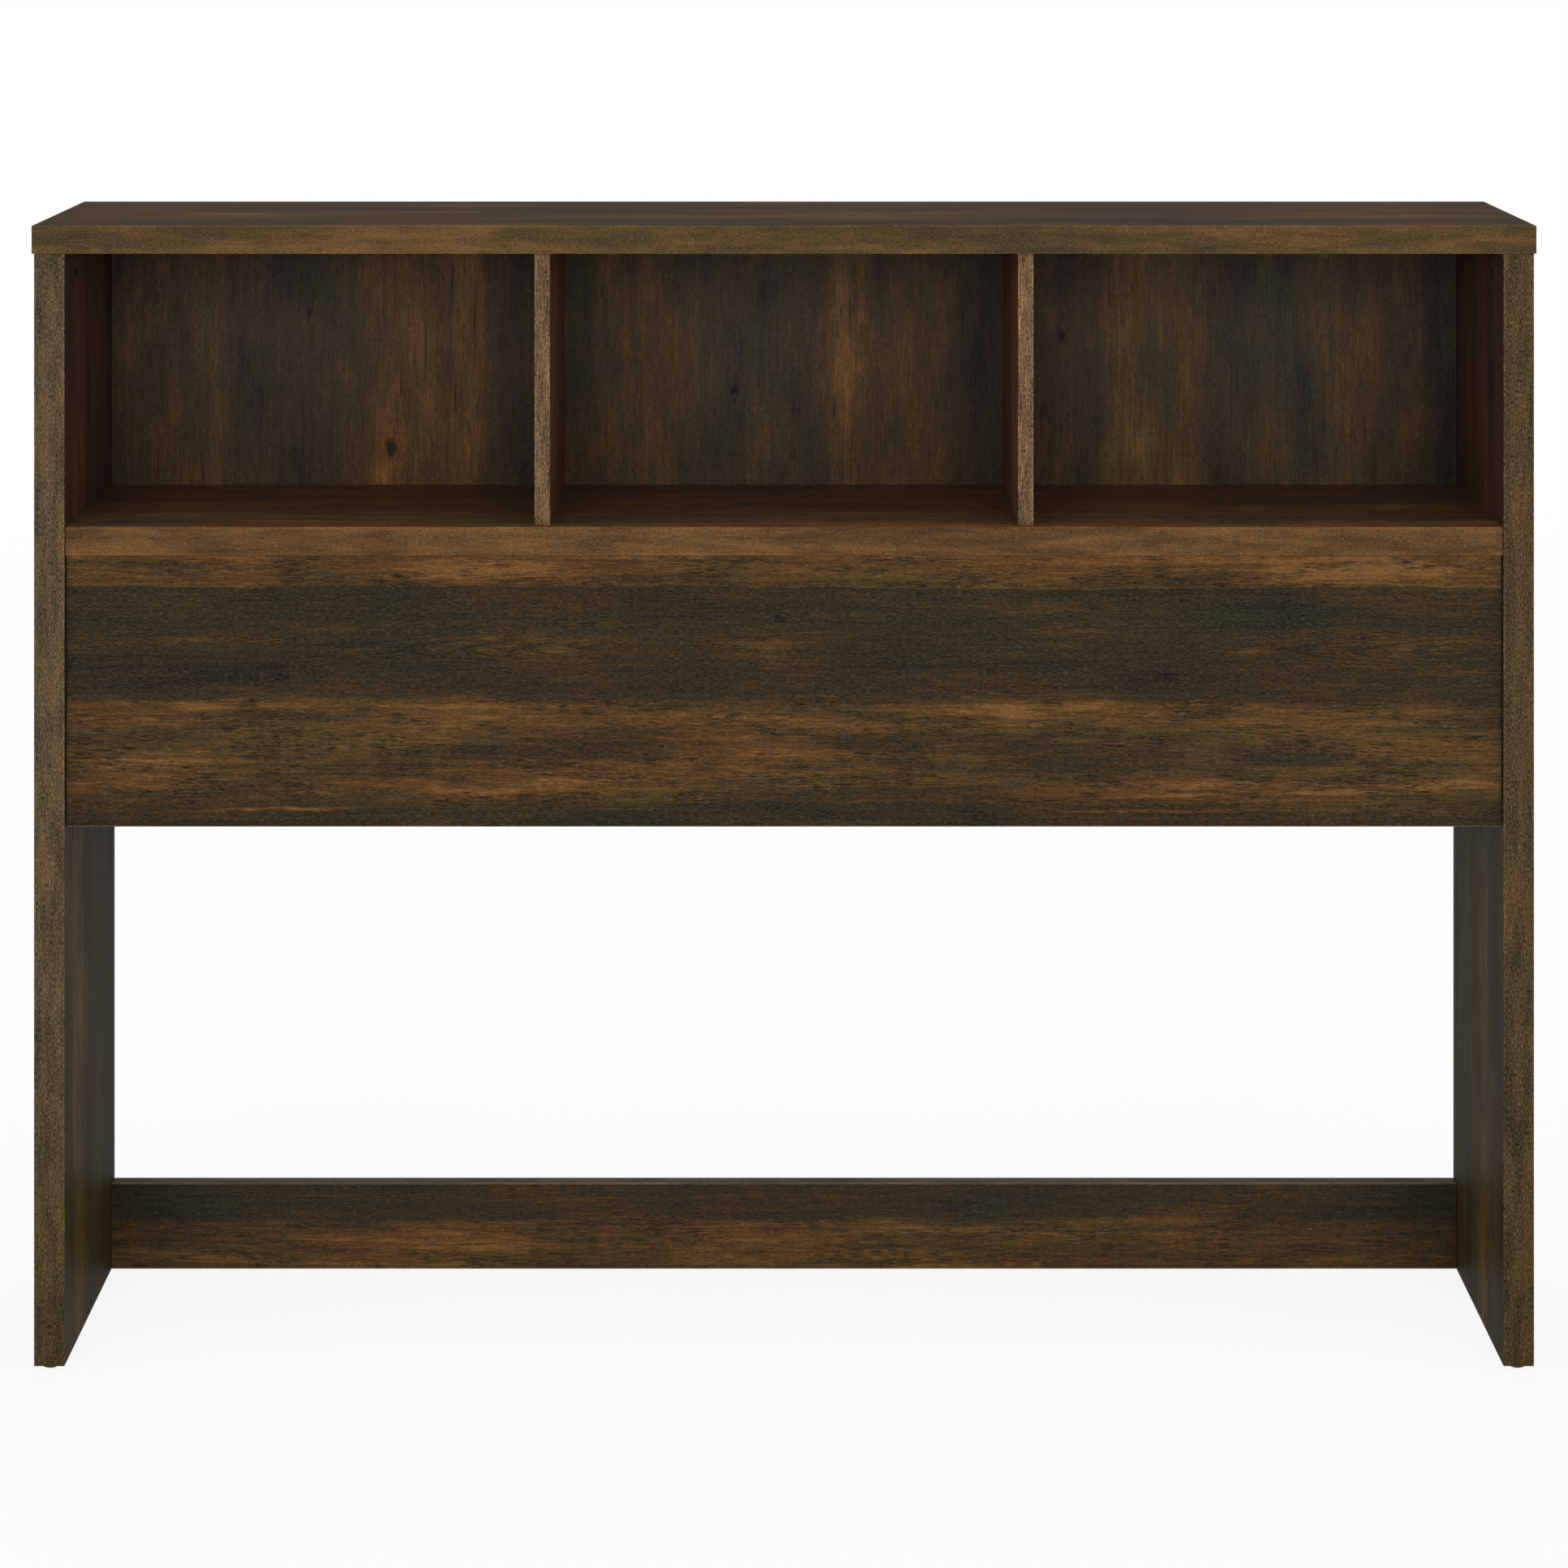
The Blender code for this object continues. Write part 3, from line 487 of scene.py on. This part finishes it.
def edge_band(name, node, along, across, stops, **options):
    """Edge band with embossed streaks and flecks. A foot is the tint of the band at its low end."""
    look = SimpleNamespace(
        seed=1.0, streak=0.6, fleck=1.0, emboss=0.06, speck=0.2, rim=0.45, foot=None, gain=(1.0, 1.0, 1.0)
    )
    look.__dict__.update(options)
    net = Net(name)
    g, a, length, width = grain_axes(net, node, along, across)
    line = a + (net.noise(g * BAND_SWAY[0], a * BAND_SWAY[1], look.seed, 2.0) - 0.5) * 0.004

    def print_noise(density, seed, *shape):
        return net.noise(g * density[0], line * density[1], look.seed + seed, *shape)

    mottle = print_noise(BAND_MOTTLE, 1, 5.0, 0.62)
    broad = print_noise(BAND_BROAD, 2, 2.0)
    colour = net.ramp(net.step(mottle * 0.62 + broad * 0.38, 0.26, 0.76), stops)
    streak = print_noise(BAND_STREAKS, 3, 3.0, 0.65) - 0.5
    fleck = print_noise(BAND_FLECKS, 6, 2.0, 0.6) - 0.5
    fine = print_noise(BAND_FINE, 4, 2.0, 0.6) - 0.5
    colour = net.tint(colour, streak * (look.streak * 2.6) + fleck * look.fleck + fine * 1.2 + 1.0)
    speck = net.step(print_noise(BAND_SPECKS, 5, 1.0), 0.66, 0.74) * look.speck
    colour = net.tint(net.mix(speck, colour, INK), look.gain)
    # Painted sheen: fine grey glints on the embossing
    colour = net.glint(colour, fleck, look.emboss)
    if look.foot:
        at_foot = net.step(g, 0.0, length * 0.34, 1.0, 0.0)
        colour = net.mix(at_foot, colour, net.tint(colour, look.foot))

    # Painted highlight: the long edges are paler, like light caught on their eased arrises
    edge = net.math("MINIMUM", a, width - a)
    colour = net.tint(colour, net.step(edge, 0.0004, 0.0012, 1.0 + look.rim, 1.0))
    height = streak + fleck * 0.8 + fine * 0.4 - speck * 0.6
    return net.finish(colour, streak * -0.2 + 0.50, height, 0.5, 0.0004)


def metal(name, dark, light, roughness, speckle, worn=1.0):
    """Plated or cast metal: uneven colour, fine pits and worn, shinier high spots, partly a painted highlight.

    Everything but the faces that look sideways is brighter by the worn factor, as wear and as a painted
    highlight:
    chamfers, most of a rim, and also a face that looks down, such as those of the cams under the shelf.
    """
    net = Net(name)
    cloud = net.noise_3d(260.0, 3.0, 0.6)
    pits = net.noise_3d(2400.0, 2.0)
    colour = net.ramp(net.step(cloud, 0.30, 0.70), ((0.0, dark), (1.0, light)))
    colour = net.tint(colour, pits * speckle + (1.0 - speckle / 2))
    # Painted highlight, with some wear: faces that don't look sideways are brighter
    if worn != 1.0:
        flat = net.highest(0.0, *(net.facing(way) for way in ((1, 0, 0), (-1, 0, 0), (0, 1, 0), (0, -1, 0))))
        colour = net.tint(colour, net.step(flat, 0.0, 1.0, worn, 1.0))
    rough = cloud * 0.25 + (roughness - 0.12)
    return net.finish(colour, rough, pits, 0.25, 0.0001, specular=0.5, metallic=0.55)


def beech(name):
    net = Net(name)
    flutes = net.noise_3d(900.0, 2.0, 0.5, (1, 1, 0.04))
    cloud = net.noise_3d(120.0, 3.0)
    tone = net.step(flutes * 0.7 + cloud * 0.3, 0.3, 0.7)
    colour = net.ramp(tone, ((0.0, BEECH_DARK), (1.0, BEECH_LIGHT)))
    return net.finish(colour, flutes * 0.2 + 0.5, flutes, 0.4, 0.0003)


def plastic(name):
    net = Net(name)
    grain = net.noise_3d(1500.0, 2.0)
    colour = net.ramp(net.noise_3d(90.0, 2.0), ((0.3, GLIDE_DARK), (0.7, GLIDE_LIGHT)))
    return net.finish(colour, grain * 0.2 + 0.35, grain, 0.2, 0.0002)


def wear(node, material):
    """Gives a CAD node a material in place of its plain one."""
    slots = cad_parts[node].data.materials
    slots.clear()
    slots.append(material)


def repeated(marks):
    """Marks on the printed sheet, and the same marks one print length further along the grain."""
    return [(mark[0] + shift, *mark[1:]) for shift in (0.0, PRINT_LENGTH) for mark in marks]


def dress_boards():
    # Painted light: the shelf's top face is tinted much brighter and bluer, for the light and sheen it catches
    # at a grazing view
    shelf_painted_light = (1.90, 1.72, 2.30)
    wear("front_panel", walnut(
        "front_laminate", "front_panel", "x", "z", FRONT_BANDS, seed=3.0, worn=1.0, emboss=0.060,
        patches=repeated(FRONT_PATCHES), knots=repeated(FRONT_KNOTS), cathedrals=repeated(FRONT_CATHEDRALS),
        gain=(0.95, 0.92, 0.85), raw=(DOWN,),
    ))
    wear("top_panel", walnut(
        "top_laminate", "top_panel", "x", "y", TOP_BANDS, seed=11.0, worn=0.3, gain=(0.98, 1.04, 1.40)
    ))
    wear("shelf_panel", walnut(
        "shelf_laminate", "shelf_panel", "x", "y", SHELF_BANDS, seed=17.0, blotch=0.8,
        recess=(UP, shelf_painted_light, shelf_painted_light),
    ))
    wear("rear_stretcher", walnut(
        "stretcher_laminate", "rear_stretcher", "x", "z", STRETCHER_BANDS, seed=23.0, worn=0.9, emboss=0.050,
        patches=STRETCHER_PATCHES, gain=(0.99, 0.98, 1.0), raw=(DOWN,),
    ))
    for index, (side, inward) in enumerate((("left", 1), ("right", -1))):
        # Painted light: the sides' inner faces are tinted brighter, greener below the shelf and bluer above it,
        # for the light between the legs and in the cubbies
        wear(f"{side}_side_panel", walnut(
            f"{side}_side_laminate", f"{side}_side_panel", "z", "y", SIDE_BANDS, seed=41.0 + 9 * index,
            streak=1.0, recess=((inward, 0, 0), (1.14, 1.28, 1.04), (1.52, 1.14, 1.72)), raw=(REARWARD, DOWN),
        ))
        # Painted light: the dividers' gain makes all their faces brighter and bluer, for the light in the
        # cubbies
        wear(f"{side}_divider", walnut(
            f"{side}_divider_laminate", f"{side}_divider", "z", "y", DIVIDER_BANDS, seed=61.0 + 9 * index,
            gain=(1.63, 1.17, 1.81), raw=(),
        ))
    # The back's gain is its print colour with painted light of the cubbies, which makes it brighter and bluer
    wear("back_panel", walnut(
        "back_print", "back_panel", "z", "x", BACK_PLANKS, seed=31.0, blotch=0.95, spread=(9.0, 26.0),
        streak=0.50, grain=0.30, worn=0.35, cracks=0.8, gain=(1.22, 1.24, 1.55), knots=BACK_KNOTS,
        splits=BACK_SPLITS, core=fibreboard,
    ))


def dress_bands():
    def band(node, finish, along, across, stops, **options):
        wear(node, edge_band(finish, node, along, across, stops, **options))

    # Side, colours of its upright band, tint at that band's foot, tint of the divider's band
    sides = (
        ("left", GOLD, (0.70, 0.70, 0.50), (0.92, 0.89, 0.83)),
        ("right", DULL, (0.77, 0.75, 0.60), (1.09, 1.03, 0.94)),
    )
    for index, (side, upright, foot, gain) in enumerate(sides):
        turn = 5 * index
        band(f"{side}_side_band", f"{side}_side_edge", "z", "x", upright, seed=2.0 + turn, fleck=1.8,
             emboss=0.13, foot=foot)
        band(f"{side}_divider_band", f"{side}_divider_edge", "z", "x", PALE, seed=14.0 + turn, streak=1.1,
             fleck=1.6, emboss=0.17, gain=gain)
        band(f"top_{side}_band", f"top_{side}_edge", "y", "z", AMBER, seed=26.0 + turn)
    band("top_front_band", "top_front_edge", "x", "z", AMBER, seed=38.0, streak=0.30)
    band("shelf_band", "shelf_edge", "x", "z", BROWN, seed=43.0, streak=0.35, speck=0.1)
    band("front_panel_band", "front_panel_edge", "x", "y", OLIVE, seed=48.0, streak=0.3)
    band("stretcher_band", "stretcher_edge", "x", "y", OLIVE, seed=53.0, streak=0.3)


def dress_hardware():
    finishes = {
        "_cam": metal("bronzed_cam", (0.026, 0.020, 0.015), (0.050, 0.040, 0.030), 0.48, 0.30, worn=4.0),
        "_bolt": metal("plated_bolt", (0.50, 0.47, 0.40), (0.68, 0.65, 0.58), 0.30, 0.10),
        "_screw": metal("plated_screw", (0.52, 0.44, 0.28), (0.70, 0.62, 0.42), 0.30, 0.10),
        "_dowel": beech("beech_dowel"),
        "_glide": plastic("brown_glide"),
    }
    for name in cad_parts:
        for ending, material in finishes.items():
            if name.endswith(ending):
                wear(name, material)


def make_floor():
    """A pale floor that reads as one even sheet to the camera, with a faint contact shadow."""
    bpy.ops.mesh.primitive_circle_add(vertices=FLOOR_CORNERS, radius=FLOOR_RADIUS, fill_type="NGON")
    floor = bpy.context.object
    floor.name = "studio_floor"
    net = Net("studio_floor")
    tree = net.tree
    net.feed(net.shader.inputs["Base Color"], (FLOOR_GREY, FLOOR_GREY, FLOOR_GREY))
    net.feed(net.shader.inputs["Roughness"], 0.9)
    net.feed(net.shader.inputs["Specular IOR Level"], 0.0)
    rays = net.node("ShaderNodeLightPath").outputs

    # The camera sees plain white mixed in, more of it further away
    distance = net.math("SQRT", net.x * net.x + net.y * net.y)
    share = net.step(distance, FLOOR_GLOW_FROM, FLOOR_GLOW_TO, FLOOR_GLOW_NEAR, FLOOR_GLOW_FAR)
    glow = net.node("ShaderNodeEmission")
    glow.inputs["Strength"].default_value = 1.0
    lit = net.node("ShaderNodeMixShader")
    net.feed(lit.inputs[0], share * Field(net, rays["Is Camera Ray"]))
    tree.links.new(net.shader.outputs[0], lit.inputs[1])
    tree.links.new(glow.outputs[0], lit.inputs[2])

    # Reflections see a dim floor, so that the boards keep their depth of colour
    dim = net.node("ShaderNodeEmission")
    dim.inputs["Strength"].default_value = FLOOR_MIRRORED
    seen = net.node("ShaderNodeMixShader")
    tree.links.new(rays["Is Glossy Ray"], seen.inputs[0])
    tree.links.new(lit.outputs[0], seen.inputs[1])
    tree.links.new(dim.outputs[0], seen.inputs[2])
    tree.links.new(seen.outputs[0], tree.nodes["Material Output"].inputs["Surface"])
    floor.data.materials.append(net.material)


def make_world():
    """White to the camera, a dim even fill to everything else, and dimmer still in reflections."""
    world = bpy.data.worlds.new("studio")
    bpy.context.scene.world = world
    world.use_nodes = True
    tree = world.node_tree
    fill = tree.nodes["Background"]
    fill.inputs["Color"].default_value = (1.0, 1.0, 1.0, 1.0)
    rays = tree.nodes.new("ShaderNodeLightPath").outputs
    strength = FILL
    for ray, change in (("Is Glossy Ray", MIRRORED_FILL - FILL), ("Is Camera Ray", 1.0 - FILL)):
        made = tree.nodes.new("ShaderNodeMath")
        made.operation = "MULTIPLY_ADD"
        tree.links.new(rays[ray], made.inputs[0])
        made.inputs[1].default_value = change
        if isinstance(strength, float):
            made.inputs[2].default_value = strength
        else:
            tree.links.new(strength, made.inputs[2])
        strength = made.outputs[0]
    tree.links.new(strength, fill.inputs["Strength"])


def make_lights():
    """Softboxes that neither the camera nor reflections see."""
    middle = (CAD_BOX[0] + CAD_BOX[1]) / 2
    for name, place, size, power in SOFTBOXES:
        data = bpy.data.lights.new(name, "AREA")
        data.shape = "RECTANGLE"
        data.size, data.size_y = size
        data.energy = power
        light = bpy.data.objects.new(name, data)
        bpy.context.scene.collection.objects.link(light)
        light.location = place
        light.rotation_euler = (middle - Vector(place)).to_track_quat("-Z", "Y").to_euler()
        light.visible_camera = False
        light.visible_glossy = False


def make_camera():
    data = bpy.data.cameras.new("camera")
    data.lens, data.sensor_width = LENS, SENSOR
    data.clip_start, data.clip_end = CLIP_NEAR, CLIP_FAR
    camera = bpy.data.objects.new("camera", data)
    bpy.context.scene.collection.objects.link(camera)
    camera.location = (0.0, CAD_BOX[0].y - EYE_DISTANCE, EYE_HEIGHT)
    camera.rotation_euler = (math.pi / 2, 0.0, 0.0)
    # The shift belongs to this level view: a camera turned by a quaternion for another view looks straight
    driver = data.driver_add("shift_y").driver
    driver.type = "SCRIPTED"
    mode = driver.variables.new()
    mode.name = "mode"
    mode.targets[0].id = camera
    mode.targets[0].data_path = "rotation_mode"
    driver.expression = f"{LENS_SHIFT} if mode > 0 else 0"
    bpy.context.scene.camera = camera


dress_boards()
dress_bands()
dress_hardware()
make_floor()
make_world()
make_lights()
make_camera()
bpy.context.scene.view_settings.view_transform = "Standard"
